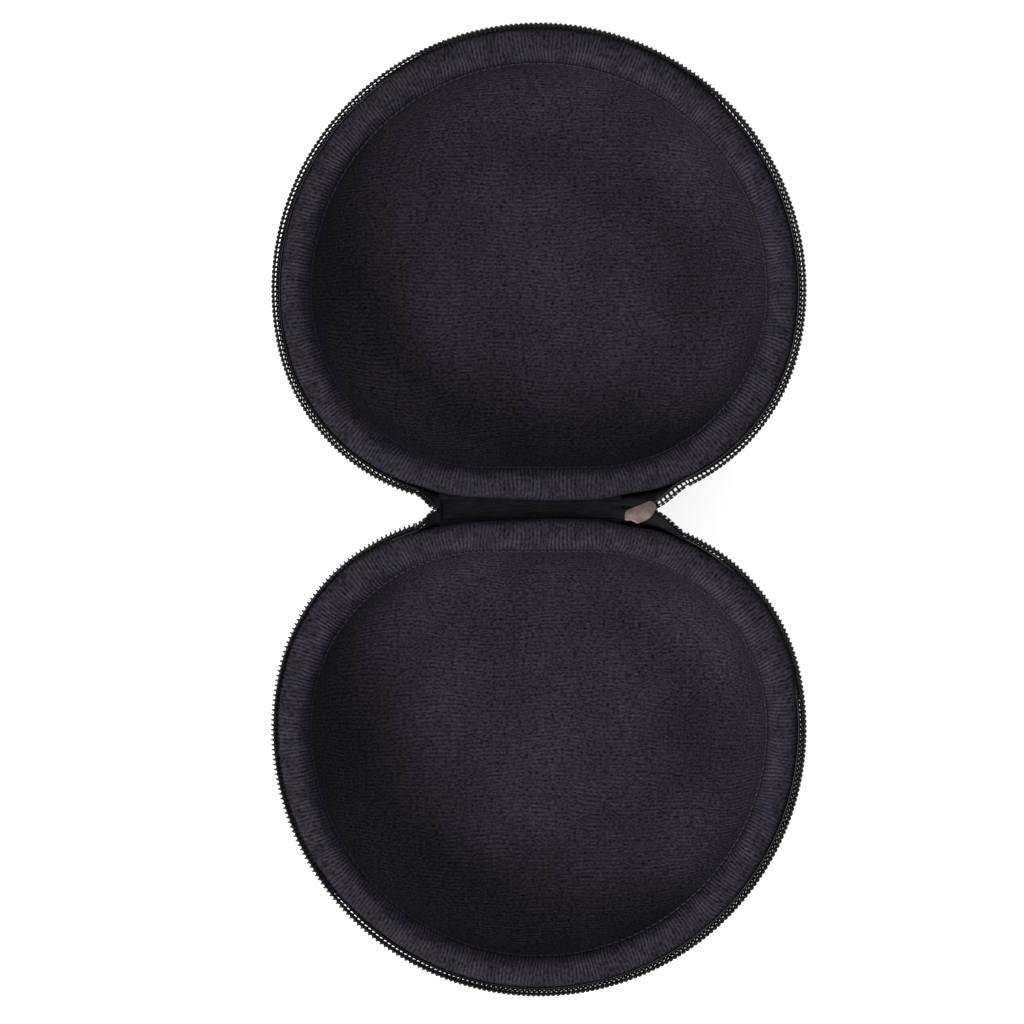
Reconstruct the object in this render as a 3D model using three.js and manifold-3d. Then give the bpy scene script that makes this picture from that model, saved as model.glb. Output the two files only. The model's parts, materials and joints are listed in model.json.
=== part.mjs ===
// A moulded headphone carrying case, lying open and flat: two domed halves joined by a
// fabric hinge, with a coil zipper round the rims. Millimetres, +Z up. The origin is on the
// floor under the middle of the hinge, +Y runs towards the lid and +X towards the slider.
//
// Both halves have the same section. A place in a section is given as [inset, drop]:
// inset is measured in from an outline, and drop is measured down from the parting plane,
// where the two rims meet when the case is closed.

import * as THREE from "three";
import { mergeVertices } from "three/addons/utils/BufferGeometryUtils.js";
import Module from "manifold-3d";

const wasm = await Module();
wasm.setup();

// ---- Driving dimensions ----

const HEIGHT = 35; // parting plane above the floor: half of the closed case's thickness
const GAP = 0.3; // between pieces that touch on the real case

// The outer edge of the zipper coil: a front arc, two corner arcs and a straight side.
const COIL_OUTLINE = { frontRadius: 80.5, frontY: 66, cornerX: 20, cornerY: 61.7, cornerRadius: 60.05 };
// The outer face of the shell, a few millimetres inside the coil.
const SHELL_OUTLINE = { frontRadius: 77.6, frontY: 66, cornerX: 16, cornerY: 65.65, cornerRadius: 61.6 };

const FRONT_STEPS = 24;
const CORNER_STEPS = 7;
const HINGE_STEPS = 2;

// Layers of the moulded shell.
const COVER_THICKNESS = 0.9;
const LINING_THICKNESS = 0.8;
const FLOOR_THICKNESS = 5.3; // cover, foam and lining together under the bowl
const DISH_INSET = 29; // where the round wall has become the flat back
const COVER_TOP = 5.8;
const FOAM_LEDGE = 0.2; // the foam's step over the top edge of the cover
const DISH_STEPS = 5;

// The knit binding rolled over the rim.
const ROLL_HALF_WIDTH = 4.2;
const ROLL_HEIGHT = 5.7;
const ROLL_MIDDLE = 6; // drop of the roll's widest place
const BINDING_THICKNESS = 0.9;
const OUTER_LIP = 5.5;
const INNER_LIP = 7;
const ROLL_STEPS = 5;

// Zipper: a coil with 1.5 mm pitch on a woven tape that stands up round the rim.
const COIL = { inset: 0, thickness: 1.5, top: 0.15, bottom: 3.2 };
const TAPE = { inset: 1.65, thickness: 0.35, top: 0.8, bottom: 9 };
const THREAD = 0.4;
const TAPE_SEAM_DROP = 6.8;
const ZIPPER_START_X = 45; // past the furthest place of the slider
const ZIPPER_END_X = -37;

// Hinge: a two-layer fabric spine that folds along two lines.
const FOLD = 3.75; // half of the spine's width, and the folds' drop
const SPINE = { left: -31, right: 23.6, innerThickness: 0.7, outerThickness: 0.9 };

// Slider, on the corner arc that the chain follows beside the hinge.
const SLIDER_X = 30.5;
const SLIDER_LENGTH = 10.4;
const MOUTH_HALF_WIDTH = 4.1;
const TAIL_HALF_WIDTH = 3.6;
const INNER_MOUTH_HALF_WIDTH = 3.1; // the inner plate is smaller, to fit between the closed rims
const INNER_TAIL_HALF_WIDTH = 2.7;
const CHANNEL_CLEARANCE = 0.4;
const CHAIN_THICKNESS = 2;
const CHAIN_HALF_WIDTH = 2.7;
const CHAIN_END_LEFT = 24.4;
const CHAIN_END_RIGHT = 32.2;
const INNER_PLATE = 0.8;
const OUTER_PLATE = 1;
const FLANGE = 0.55;
const FLANGE_DEPTH = 1.5;
const POST_LEFT = 2.2; // from the slider's middle
const POST_LENGTH = 2;
const POST_HALF_WIDTH = 0.8;
const BAIL = { halfLength: 4, halfWidth: 1.1, height: 3.4, wall: 1.2, holeHalfLength: 2.4 };
const BAIL_SEAT = 0.1; // between the bail's foot and the outer plate
const BAIL_FOOT = 0.2;
const PIVOT_HEIGHT = 1.45; // above the slider's outer plate

// Pull tab, hanging from the bail.
const TAB = { length: 21.5, halfWidth: 2.8, thickness: 1.2, barRadius: 0.65 };
const TAB_WINDOW = { top: 0.65, bottom: 5.2, halfWidth: 1.6 };

// ---- Materials ----

const material = (color, roughness, metalness = 0) =>
  new THREE.MeshStandardMaterial({ color, roughness, metalness });
const coverCloth = material(0x1c1c20, 0.85);
const foam = material(0x26262a, 0.95);
const knit = material(0x232127, 0.95);
const ribbedKnit = material(0x2a2830, 0.9);
const thread = material(0x45434a, 0.8);
const wovenTape = material(0x17171a, 0.85);
const nylon = material(0x101012, 0.45);
const gunmetal = material(0x827373, 0.35, 1);

// ---- Outlines ----

const radians = (degrees) => (degrees * Math.PI) / 180;

// A station is a place on an outline with the direction that points out of the case.
function arcStations(x, y, radius, from, to, steps) {
  const stations = [];
  for (let i = 0; i <= steps; i++) {
    const angle = from + ((to - from) * i) / steps;
    const out = [Math.cos(angle), Math.sin(angle)];
    stations.push({ at: [x + radius * out[0], y + radius * out[1]], out });
  }
  return stations;
}

// The arcs of a half with its hinge side at y > 0, from startX on the right side of the hinge
// round the front to endX on its left side.
function archStations(outline, startX, endX) {
  const { frontRadius, frontY, cornerX, cornerY, cornerRadius } = outline;
  const join = Math.atan2(cornerY - frontY, cornerX);
  const angleAt = (x) => Math.asin((Math.abs(x) - cornerX) / cornerRadius) - Math.PI / 2;
  const right = arcStations(cornerX, cornerY, cornerRadius, angleAt(startX), join, CORNER_STEPS);
  const front = arcStations(0, frontY, frontRadius, join, Math.PI - join, FRONT_STEPS);
  const left = arcStations(
    -cornerX, cornerY, cornerRadius, Math.PI - join, Math.PI - angleAt(endX), CORNER_STEPS);
  return [...right, ...front.slice(1, -1), ...left];
}

// The whole closed outline, with the straight hinge side.
function closedStations(outline) {
  const stations = archStations(outline, outline.cornerX, -outline.cornerX);
  const y = outline.cornerY - outline.cornerRadius;
  for (let i = 1; i < HINGE_STEPS; i++) {
    const x = outline.cornerX * ((2 * i) / HINGE_STEPS - 1);
    stations.push({ at: [x, y], out: [0, -1] });
  }
  return stations;
}

// The base is the lid's mirror image across the hinge line.
function forHalf(stations, half) {
  if (half === "lid") return stations;
  return stations.map(({ at, out }) => ({ at: [at[0], -at[1]], out: [out[0], -out[1]] })).reverse();
}

// ---- Lofts ----

function meshGeometry(points, triangles) {
  const geometry = new THREE.BufferGeometry();
  geometry.setAttribute("position", new THREE.Float32BufferAttribute(points.flat(), 3));
  geometry.setIndex(triangles.flat());
  geometry.computeVertexNormals();
  return geometry;
}

function ringPoints(stations, [inset, drop]) {
  return stations.map(({ at, out }) => [
    at[0] - inset * out[0], at[1] - inset * out[1], HEIGHT - drop]);
}

// Joins ring i to ring j, station by station.
function wallTriangles(count, i, j, closed) {
  const triangles = [];
  const last = closed ? count : count - 1;
  for (let k = 0; k < last; k++) {
    const next = (k + 1) % count;
    triangles.push([i * count + k, i * count + next, j * count + next]);
    triangles.push([i * count + k, j * count + next, j * count + k]);
  }
  return triangles;
}

// A closed section carried round closed stations. With inset to the right and drop downwards,
// every section here runs clockwise.
function hoop(stations, profile) {
  const count = stations.length;
  const points = profile.flatMap((place) => ringPoints(stations, place));
  const triangles = profile.flatMap((_, i) =>
    wallTriangles(count, i, (i + 1) % profile.length, true));
  return meshGeometry(points, triangles);
}

// A closed convex section carried along open stations, with flat ends.
function strip(stations, profile) {
  const count = stations.length;
  const points = profile.flatMap((place) => ringPoints(stations, place));
  const triangles = profile.flatMap((_, i) =>
    wallTriangles(count, i, (i + 1) % profile.length, false));
  for (let i = 1; i < profile.length - 1; i++) {
    triangles.push([0, i * count, (i + 1) * count]);
    triangles.push([count - 1, (i + 2) * count - 1, (i + 1) * count - 1]);
  }
  return meshGeometry(points, triangles);
}

// An open section that starts and ends at the middle of the floor: the outer face from the
// middle of the back up to the rim, then the inner face down to the middle of the bowl.
function dish(stations, profile) {
  const count = stations.length;
  const points = profile.flatMap((place) => ringPoints(stations, place));
  const triangles = [];
  for (let i = 0; i < profile.length - 1; i++) triangles.push(...wallTriangles(count, i, i + 1, true));
  const middleY = Math.sign(stations[0].at[1]) * SHELL_OUTLINE.frontY;
  const back = points.push([0, middleY, HEIGHT - profile[0][1]]) - 1;
  const bowl = points.push([0, middleY, HEIGHT - profile.at(-1)[1]]) - 1;
  const lastRing = (profile.length - 1) * count;
  for (let k = 0; k < count; k++) {
    const next = (k + 1) % count;
    triangles.push([back, next, k]);
    triangles.push([bowl, lastRing + k, lastRing + next]);
  }
  return meshGeometry(points, triangles);
}

// ---- Sections ----

// A quarter of an ellipse from the flat floor up to the wall at the given inset.
function dishCurve(inset, floorDrop, wallDrop) {
  const places = [];
  for (let i = 0; i <= DISH_STEPS; i++) {
    const angle = radians(90 * (1 - i / DISH_STEPS));
    places.push([
      DISH_INSET - (DISH_INSET - inset) * Math.cos(angle),
      wallDrop + (floorDrop - wallDrop) * Math.sin(angle)]);
  }
  return places;
}

// The roll's outer face, moved in by depth, from the outer lip over the top to the inner lip.
function rollCurve(depth, outerDrop, innerDrop) {
  const across = ROLL_HALF_WIDTH - depth;
  const up = ROLL_HEIGHT - depth;
  const from = Math.PI - Math.asin((ROLL_MIDDLE - outerDrop) / up);
  const to = Math.asin((ROLL_MIDDLE - innerDrop) / up);
  const places = [];
  for (let i = 0; i <= ROLL_STEPS; i++) {
    const angle = from + ((to - from) * i) / ROLL_STEPS;
    places.push([ROLL_HALF_WIDTH + across * Math.cos(angle), ROLL_MIDDLE - up * Math.sin(angle)]);
  }
  return places;
}

const box = (inset, width, top, bottom) => [
  [inset, bottom], [inset, top], [inset + width, top], [inset + width, bottom]];

const coverInner = COVER_THICKNESS;
const foamOuter = coverInner + GAP;
const foamDepth = BINDING_THICKNESS + GAP;
const foamInner = 2 * ROLL_HALF_WIDTH - foamDepth;
const liningOuter = foamInner + GAP;
const liningInner = liningOuter + LINING_THICKNESS;
const liningTop = INNER_LIP + GAP;
const floorDrop = (height) => HEIGHT - height;
const liningBack = FLOOR_THICKNESS - LINING_THICKNESS;
const foamBowl = liningBack - GAP;

const coverSection = [
  ...dishCurve(0, floorDrop(0), COVER_TOP),
  ...dishCurve(coverInner, floorDrop(COVER_THICKNESS), COVER_TOP).reverse()];
const foamSection = [
  ...dishCurve(foamOuter, floorDrop(foamOuter), COVER_TOP),
  ...rollCurve(foamDepth, COVER_TOP - FOAM_LEDGE, ROLL_MIDDLE),
  ...dishCurve(foamInner, floorDrop(foamBowl), liningTop).reverse()];
const liningSection = [
  ...dishCurve(liningOuter, floorDrop(liningBack), liningTop),
  ...dishCurve(liningInner, floorDrop(FLOOR_THICKNESS), liningTop).reverse()];
const bindingSection = [
  ...rollCurve(0, OUTER_LIP, INNER_LIP),
  ...rollCurve(BINDING_THICKNESS, OUTER_LIP, INNER_LIP).reverse()];
const bindingSeamSection = box(2 * ROLL_HALF_WIDTH + GAP, THREAD, ROLL_MIDDLE - THREAD, ROLL_MIDDLE);
const coilSection = box(COIL.inset, COIL.thickness, COIL.top, COIL.bottom);
const tapeSection = box(TAPE.inset, TAPE.thickness, TAPE.top, TAPE.bottom);
const tapeSeamSection = box(
  TAPE.inset - GAP - THREAD, THREAD, TAPE_SEAM_DROP, TAPE_SEAM_DROP + THREAD);

// ---- Assembly ----

const carryingCase = new THREE.Group();

function place(parent, name, geometry, surface) {
  const mesh = new THREE.Mesh(geometry, surface);
  mesh.name = name;
  parent.add(mesh);
}

for (const half of ["base", "lid"]) {
  const shell = forHalf(closedStations(SHELL_OUTLINE), half);
  const zipper = forHalf(archStations(COIL_OUTLINE, ZIPPER_START_X, ZIPPER_END_X), half);
  place(carryingCase, half + "_outer_cover", dish(shell, coverSection), coverCloth);
  place(carryingCase, half + "_foam_shell", dish(shell, foamSection), foam);
  place(carryingCase, half + "_lining", dish(shell, liningSection), knit);
  place(carryingCase, half + "_rim_binding", hoop(shell, bindingSection), ribbedKnit);
  place(carryingCase, half + "_binding_seam", hoop(shell, bindingSeamSection), thread);
  place(carryingCase, half + "_zipper_coil", strip(zipper, coilSection), nylon);
  place(carryingCase, half + "_zipper_tape", strip(zipper, tapeSection), wovenTape);
  place(carryingCase, half + "_tape_seam", strip(zipper, tapeSeamSection), thread);
}

// ---- Hinge ----

function spineLayer(name, top, thickness) {
  const length = SPINE.right - SPINE.left;
  const geometry = new THREE.BoxGeometry(length, 2 * (FOLD - GAP), thickness);
  geometry.translate((SPINE.left + SPINE.right) / 2, 0, top - thickness / 2);
  place(carryingCase, name, geometry, wovenTape);
}

const spineTop = HEIGHT - FOLD;
spineLayer("hinge_inner_strip", spineTop, SPINE.innerThickness);
spineLayer("hinge_outer_strip", spineTop - SPINE.innerThickness - GAP, SPINE.outerThickness);

// ---- Zipper end, slider and pull ----

// Boolean joins: every solid here is a closed mesh with merged vertices.
function solidOf(geometry) {
  geometry.deleteAttribute("normal");
  geometry.deleteAttribute("uv");
  const merged = mergeVertices(geometry);
  return new wasm.Manifold(new wasm.Mesh({
    numProp: 3,
    vertProperties: merged.attributes.position.array,
    triVerts: new Uint32Array(merged.index.array) }));
}

function geometryOf(solid) {
  const { vertProperties, triVerts } = solid.getMesh();
  const geometry = new THREE.BufferGeometry();
  geometry.setAttribute("position", new THREE.BufferAttribute(vertProperties, 3));
  geometry.setIndex(new THREE.BufferAttribute(triVerts, 1));
  geometry.computeVertexNormals();
  return geometry;
}

const boxSolid = (x0, x1, y0, y1, z0, z1) => solidOf(
  new THREE.BoxGeometry(x1 - x0, y1 - y0, z1 - z0)
    .translate((x0 + x1) / 2, (y0 + y1) / 2, (z0 + z1) / 2));

// The chain's corner arc, carried by the spine, has its centre high above the open hinge.
// In this group -Z points from that centre to the middle of the slider.
const chainRadius = COIL_OUTLINE.cornerRadius;
const chainCentreZ = HEIGHT + COIL_OUTLINE.cornerY - 2 * FOLD;
const sliderTilt = Math.asin((SLIDER_X - COIL_OUTLINE.cornerX) / chainRadius);

const chainFrame = new THREE.Group();
chainFrame.position.set(COIL_OUTLINE.cornerX, 0, chainCentreZ);
chainFrame.rotation.y = -sliderTilt;
carryingCase.add(chainFrame);

const chainOuter = -chainRadius;
const chainInner = chainOuter + CHAIN_THICKNESS;
const alongChain = (x) => (x - SLIDER_X) / Math.cos(sliderTilt);

// The last closed stretch of the chain, between the end of the spine and the slider's post.
function chainEnd() {
  const from = alongChain(CHAIN_END_LEFT);
  const to = alongChain(CHAIN_END_RIGHT);
  return new THREE.BoxGeometry(to - from, 2 * CHAIN_HALF_WIDTH, CHAIN_THICKNESS)
    .translate((from + to) / 2, 0, (chainInner + chainOuter) / 2);
}
place(chainFrame, "zipper_chain_end", chainEnd(), nylon);

// A slider plate seen from above: round at the mouth (+X), narrower at the tail.
function sliderPlate(mouthHalfWidth, tailHalfWidth, bottom, thickness) {
  const front = SLIDER_LENGTH / 2;
  const shape = new THREE.Shape();
  shape.moveTo(-front, -tailHalfWidth);
  shape.lineTo(0, -tailHalfWidth);
  shape.lineTo(front - mouthHalfWidth / 2, -mouthHalfWidth);
  shape.quadraticCurveTo(front, -mouthHalfWidth, front, 0);
  shape.quadraticCurveTo(front, mouthHalfWidth, front - mouthHalfWidth / 2, mouthHalfWidth);
  shape.lineTo(0, tailHalfWidth);
  shape.lineTo(-front, tailHalfWidth);
  const outline = { depth: thickness, bevelEnabled: false, curveSegments: 6 };
  return solidOf(new THREE.ExtrudeGeometry(shape, outline).translate(0, 0, bottom));
}

const ROOT = 0.5; // how far the post and flanges run into the plates
const channelInner = chainInner + CHANNEL_CLEARANCE;
const channelOuter = chainOuter - CHANNEL_CLEARANCE;
const outerFace = channelOuter - OUTER_PLATE;

function sliderBody() {
  const front = SLIDER_LENGTH / 2;
  const outerPlate = sliderPlate(MOUTH_HALF_WIDTH, TAIL_HALF_WIDTH, outerFace, OUTER_PLATE);
  const innerPlate = sliderPlate(INNER_MOUTH_HALF_WIDTH, INNER_TAIL_HALF_WIDTH, channelInner, INNER_PLATE);
  const post = boxSolid(POST_LEFT, POST_LEFT + POST_LENGTH, -POST_HALF_WIDTH, POST_HALF_WIDTH,
    channelOuter - ROOT, channelInner + ROOT);
  const flanges = [-1, 1].map((side) => {
    const inner = side * (TAIL_HALF_WIDTH - FLANGE);
    const outer = side * TAIL_HALF_WIDTH;
    return boxSolid(-front, 0, Math.min(inner, outer), Math.max(inner, outer),
      channelOuter - ROOT, channelOuter + FLANGE_DEPTH);
  });
  return geometryOf([post, innerPlate, ...flanges].reduce((sum, piece) => sum.add(piece), outerPlate));
}
place(chainFrame, "slider_body", sliderBody(), gunmetal);

// The bail is an arch on the slider's outer plate, standing away from the case.
function bail() {
  const foot = outerFace - BAIL_SEAT;
  const arch = boxSolid(-BAIL.halfLength, BAIL.halfLength, -BAIL.halfWidth, BAIL.halfWidth,
    foot - BAIL.height, foot);
  const hole = boxSolid(-BAIL.holeHalfLength, BAIL.holeHalfLength, -2 * BAIL.halfWidth, 2 * BAIL.halfWidth,
    foot - BAIL.height + BAIL.wall, foot - BAIL_FOOT);
  return geometryOf(arch.subtract(hole));
}
place(chainFrame, "slider_bail", bail(), gunmetal);

// The tab's top bar lies in the bail, and the tab hangs straight down.
const pivotRadius = -outerFace + PIVOT_HEIGHT;
const tabFrame = new THREE.Group();
tabFrame.position.set(
  COIL_OUTLINE.cornerX + pivotRadius * Math.sin(sliderTilt), 0,
  chainCentreZ - pivotRadius * Math.cos(sliderTilt));
carryingCase.add(tabFrame);

function pullTab() {
  const { length, halfWidth, thickness, barRadius } = TAB;
  const shape = new THREE.Shape();
  shape.moveTo(-halfWidth, 0);
  shape.lineTo(halfWidth, 0);
  shape.lineTo(halfWidth, halfWidth - length);
  shape.absarc(0, halfWidth - length, halfWidth, 0, -Math.PI, true);
  const window = new THREE.Path();
  window.moveTo(-TAB_WINDOW.halfWidth, -TAB_WINDOW.top);
  window.lineTo(-TAB_WINDOW.halfWidth, -TAB_WINDOW.bottom);
  window.lineTo(TAB_WINDOW.halfWidth, -TAB_WINDOW.bottom);
  window.lineTo(TAB_WINDOW.halfWidth, -TAB_WINDOW.top);
  shape.holes.push(window);
  const outline = { depth: thickness, bevelEnabled: false, curveSegments: 8 };
  const plate = new THREE.ExtrudeGeometry(shape, outline)
    .translate(0, 0, -thickness / 2)
    .rotateX(Math.PI / 2)
    .rotateZ(Math.PI / 2);
  const bar = new THREE.CylinderGeometry(barRadius, barRadius, 2 * halfWidth, 12);
  return geometryOf(solidOf(plate).add(solidOf(bar)));
}
place(tabFrame, "pull_tab", pullTab(), gunmetal);

export default carryingCase;
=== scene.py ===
import json
import math

import bmesh
import bpy
import numpy as np
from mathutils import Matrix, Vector


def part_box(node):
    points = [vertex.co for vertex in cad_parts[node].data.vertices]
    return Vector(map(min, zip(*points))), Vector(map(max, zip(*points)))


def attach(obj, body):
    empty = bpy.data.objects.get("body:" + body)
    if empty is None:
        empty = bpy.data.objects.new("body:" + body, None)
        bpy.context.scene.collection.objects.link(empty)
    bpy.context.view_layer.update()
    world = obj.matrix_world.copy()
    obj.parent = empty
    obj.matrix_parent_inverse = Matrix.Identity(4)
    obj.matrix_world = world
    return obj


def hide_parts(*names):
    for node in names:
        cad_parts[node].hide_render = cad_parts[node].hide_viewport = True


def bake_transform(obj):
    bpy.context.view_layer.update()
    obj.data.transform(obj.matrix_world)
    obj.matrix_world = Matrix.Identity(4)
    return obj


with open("model.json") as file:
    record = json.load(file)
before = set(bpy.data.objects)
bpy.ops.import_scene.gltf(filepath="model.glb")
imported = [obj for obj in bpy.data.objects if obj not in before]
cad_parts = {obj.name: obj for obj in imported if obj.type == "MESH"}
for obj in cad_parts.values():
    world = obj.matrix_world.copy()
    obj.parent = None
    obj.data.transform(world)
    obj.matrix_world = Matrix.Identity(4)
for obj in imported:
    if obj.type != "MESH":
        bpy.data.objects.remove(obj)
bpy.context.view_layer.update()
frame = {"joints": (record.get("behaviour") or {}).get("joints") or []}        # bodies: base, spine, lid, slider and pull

# The soft and fine pieces of an open headphone case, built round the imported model. Lengths are in
# millimetres until a mesh is made. A place in a half's section is [inset, drop]: inset is measured
# in from an outline, and drop down from the parting plane. Everything is built for the lid, which
# lies at y > 0, and the base is its mirror image.

MM = 0.001
UP = np.array([0, 0, 1.0])
HALVES = ("base", "lid")
joints = {joint["name"]: joint for joint in frame["joints"]}

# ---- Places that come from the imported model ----

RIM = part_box("lid_zipper_coil")[1].z / MM + 0.15
FOLD_Y = joints["lid_fold"]["pos_m"][1] / MM
FOLD_Z = joints["lid_fold"]["pos_m"][2] / MM
CHAIN_X = joints["slider_travel"]["pos_m"][0] / MM
CHAIN_Z = joints["slider_travel"]["pos_m"][2] / MM
PIVOT = Vector(joints["pull_swing"]["pos_m"]) / MM
STRIP_LOW, STRIP_HIGH = (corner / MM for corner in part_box("hinge_inner_strip"))
CHAIN_LOW, CHAIN_HIGH = (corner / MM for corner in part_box("zipper_chain_end"))

# ---- Sizes ----

COVER_THICKNESS = 0.9
LINING_THICKNESS = 0.8
FLOOR_THICKNESS = 5.3
DISH_INSET = 29
COVER_TOP = 5.8
ROLL_HALF_WIDTH = 4.2
ROLL_HEIGHT = 5.7
ROLL_MIDDLE = 6
OUTER_SQUARENESS = 0.55  # of the roll's section: 1 is an ellipse, and less is squarer
BINDING_THICKNESS = 0.9
OUTER_LIP = 5.5
INNER_LIP = 7
GAP = 0.3

RIB_PITCH = 1.2
RIB_DEPTH = 0.3
RIB_STEPS = 6
HINGE_BULGE = 0.5  # how far the rolls press over the strip, all along it
HINGE_BULGE_MIDDLE = 0.9  # and near the middle, on top of that
HINGE_BULGE_X = 6

COIL_PITCH = 1.5
WIRE = 0.28  # half the wire's thickness
HEAD = 0.72  # half the length of a head, along the coil
TURN_PLACES = (0, 0.06, 0.12, 0.17, 0.21, 0.25, 0.29, 0.33, 0.38, 0.44, 0.5, 0.57, 0.64, 0.69, 0.72,
               0.75, 0.78, 0.81, 0.86, 0.93)  # shares of a turn at which the wire has its rings
COIL_INSET = 1.0  # of the coil's middle
COIL_DROP = 1.65  # so that the heads of the closed halves just meet
OUTER_LEG = 0.95  # from the coil's middle
INNER_LEG = 0.62
COIL_HALF_HEIGHT = 1.35
CORD_RISE = 0.8  # of the cord under the heads, above the coil's middle
CORD_HALF_HEIGHT = 0.24
# The cords' half-widths, and how far in from the coil's middle they lie.
CORDS = {"lid": (0.28, 0.1), "base": (0.42, 0.22), "left_tail": (0.5, 0.2)}
TAPE_INSET = 2.35  # of the tape's inner face, where the roll presses on it
ZIPPER_START = 45  # x, on the right
ZIPPER_END = -37  # x, on the left
CHAIN_RADIUS = 59.05  # at the chain's middle

STITCH_ROWS = (0.95, 1.2)  # how far below the coil's middle the rows of thread lie
TAPE_THICKNESS = 0.35
TAPE_STRAIGHT = 1.3  # how far below the coil's middle the tape leaves the coil
# Its way round the roll: two control points, each beyond the roll and down, and its lower edge.
TAPE_CURVE = ((0.4, 3.8), (0.5, 7.6))
TAPE_GAP = 0.2  # between the shell and the tape's middle, at the lower edge
TAPE_DROP = 9
SEAM_PITCH = 3
SEAM_STITCH = 1.2  # half its length
STRIP_SAG = 1.3
STRIP_HALF = 2.7  # half the width of the strips' middle part
STRIP_SEAM_X = -26
STRIP_STEPS = 60
MARGIN_START = 1.3  # y, where a margin starts inside a strip's middle part
# How far out from the hinge's middle, given for the pieces that join the spine to a half.
RIGHT_TAIL_BEND = (2.0, 6.2)
LEFT_TAIL_BEND = (1.4, 4.0)
# Where a half is pulled tight, as shares of its arcs' length: the pull begins, is full, begins to
# fade and ends.
TIGHT = {"lid": [(0.32, 0.42, 0.56, 0.66)],
         "base": [(0.08, 0.12, 0.17, 0.22), (0.62, 0.70, 0.90, 0.97)]}
TIGHT_PRESS = 1.3  # how much further the roll presses out there
TIGHT_BULGE = 0.6  # the share of that by which the tape bulges beyond the roll
SLIDER_ROOM = {"lid": 0.5, "base": 0.78}  # the share of the press that gives way to the slider
SLIDER_ROOM_X = 27


# ---- Outlines ----

class Outline:
    """The rim line of the lid: a corner arc, the front arc, a corner arc and the straight hinge
    side. A run is the distance along it from the right end of the hinge side."""

    def __init__(self, front_radius, front_y, corner_x, corner_y, corner_radius):
        join = math.atan2(corner_y - front_y, corner_x)
        corner = join + math.pi / 2
        self.arcs = (
            (corner_x, corner_y, corner_radius, -math.pi / 2, corner),
            (0, front_y, front_radius, join, math.pi - 2 * join),
            (-corner_x, corner_y, corner_radius, math.pi - join, corner))
        self.middle = np.array([0, front_y])
        self.corner_x = corner_x
        self.corner_radius = corner_radius
        self.hinge_y = corner_y - corner_radius
        self.arch = sum(radius * sweep for _, _, radius, _, sweep in self.arcs)
        self.length = self.arch + 2 * corner_x

    def at(self, run):
        """Places and outward directions at these runs."""
        run = np.mod(np.asarray(run, float), self.length)
        place = np.zeros((len(run), 2))
        out = np.zeros((len(run), 2))
        start = 0
        for x, y, radius, angle, sweep in self.arcs:
            on = (run >= start) & (run <= start + radius * sweep)
            turn = angle + (run[on] - start) / radius
            out[on] = np.stack([np.cos(turn), np.sin(turn)], 1)
            place[on] = np.array([x, y]) + radius * out[on]
            start += radius * sweep
        on = run > self.arch
        out[on] = [0, -1]
        place[on, 0] = run[on] - self.arch - self.corner_x
        place[on, 1] = self.hinge_y
        return place, out

    def run_at(self, x):
        """The run to x on the right corner arc, or on the left one where x is negative."""
        run = self.corner_radius * math.asin((abs(x) - self.corner_x) / self.corner_radius)
        return run if x > 0 else self.arch - run

    def nearest(self, points):
        """The runs nearest to these points."""
        runs = np.linspace(0, self.length, 3600, endpoint=False)
        places = self.at(runs)[0]
        away = ((points[:, None, :2] - places[None]) ** 2).sum(2)
        return runs[away.argmin(1)]


COIL_LINE = Outline(80.5, 66, 20, 61.7, 60.05)
SHELL_LINE = Outline(77.6, 66, 16, 65.65, 61.6)


# ---- Meshes ----

def unit(vectors):
    return vectors / np.linalg.norm(vectors, axis=-1, keepdims=True)


def smooth(value, low, high):
    share = np.clip((np.asarray(value, float) - low) / (high - low), 0, 1)
    return share * share * (3 - 2 * share)


def squared_off(value, power):
    """A sine or cosine raised to this power with its sign kept, which squares off a circle."""
    return np.sign(value) * np.abs(value) ** power


def distances(path):
    """How far along a path each of its points is."""
    return np.concatenate([[0], np.cumsum(np.linalg.norm(np.diff(path, axis=0), axis=1))])


def at_drop(flat, drop):
    """Points at these places, this far down from the parting plane."""
    return np.column_stack([flat, np.broadcast_to(RIM - drop, len(flat))])


def grid_quads(rows, columns, wrap_rows=False, wrap_columns=False):
    """Faces of a grid of points, with each corner's own row and column, past the end at a wrap."""
    i, j = np.meshgrid(
        np.arange(rows if wrap_rows else rows - 1),
        np.arange(columns if wrap_columns else columns - 1), indexing="ij")
    i, j = i.ravel(), j.ravel()
    row = np.stack([i, i + 1, i + 1, i], 1)
    column = np.stack([j, j, j + 1, j + 1], 1)
    return (row % rows) * columns + column % columns, row, column


def make_piece(name, half, points, faces, surface, cloth=None):
    """A mesh object from points in millimetres. cloth holds a place in the cloth for each face
    corner, in millimetres, which the woven and knitted materials follow."""
    points = np.array(points, float).reshape(-1, 3)
    if half == "base":
        points[:, 1] *= -1
    mesh = bpy.data.meshes.new(name)
    mesh.from_pydata((points * MM).tolist(), [], [list(map(int, face)) for face in faces])
    if cloth is not None:
        layer = mesh.uv_layers.new(name="cloth")
        layer.data.foreach_set("uv", np.asarray(cloth, np.float32).ravel())
    work = bmesh.new()
    work.from_mesh(mesh)
    bmesh.ops.recalc_face_normals(work, faces=work.faces)
    work.to_mesh(mesh)
    work.free()
    mesh.polygons.foreach_set("use_smooth", [True] * len(mesh.polygons))
    mesh.materials.append(surface)
    return linked(name, mesh)


def linked(name, data):
    """A new object in the scene."""
    made = bpy.data.objects.new(name, data)
    bpy.context.scene.collection.objects.link(made)
    return made


def settle(piece, body, node=None):
    """Says which body a piece rides on, and which CAD node it replaces."""
    if node is not None:
        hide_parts(node)
    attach(piece, body)


def bend(piece):
    """Bakes a piece's place into its points, and leaves it on no body."""
    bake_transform(piece)


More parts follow.
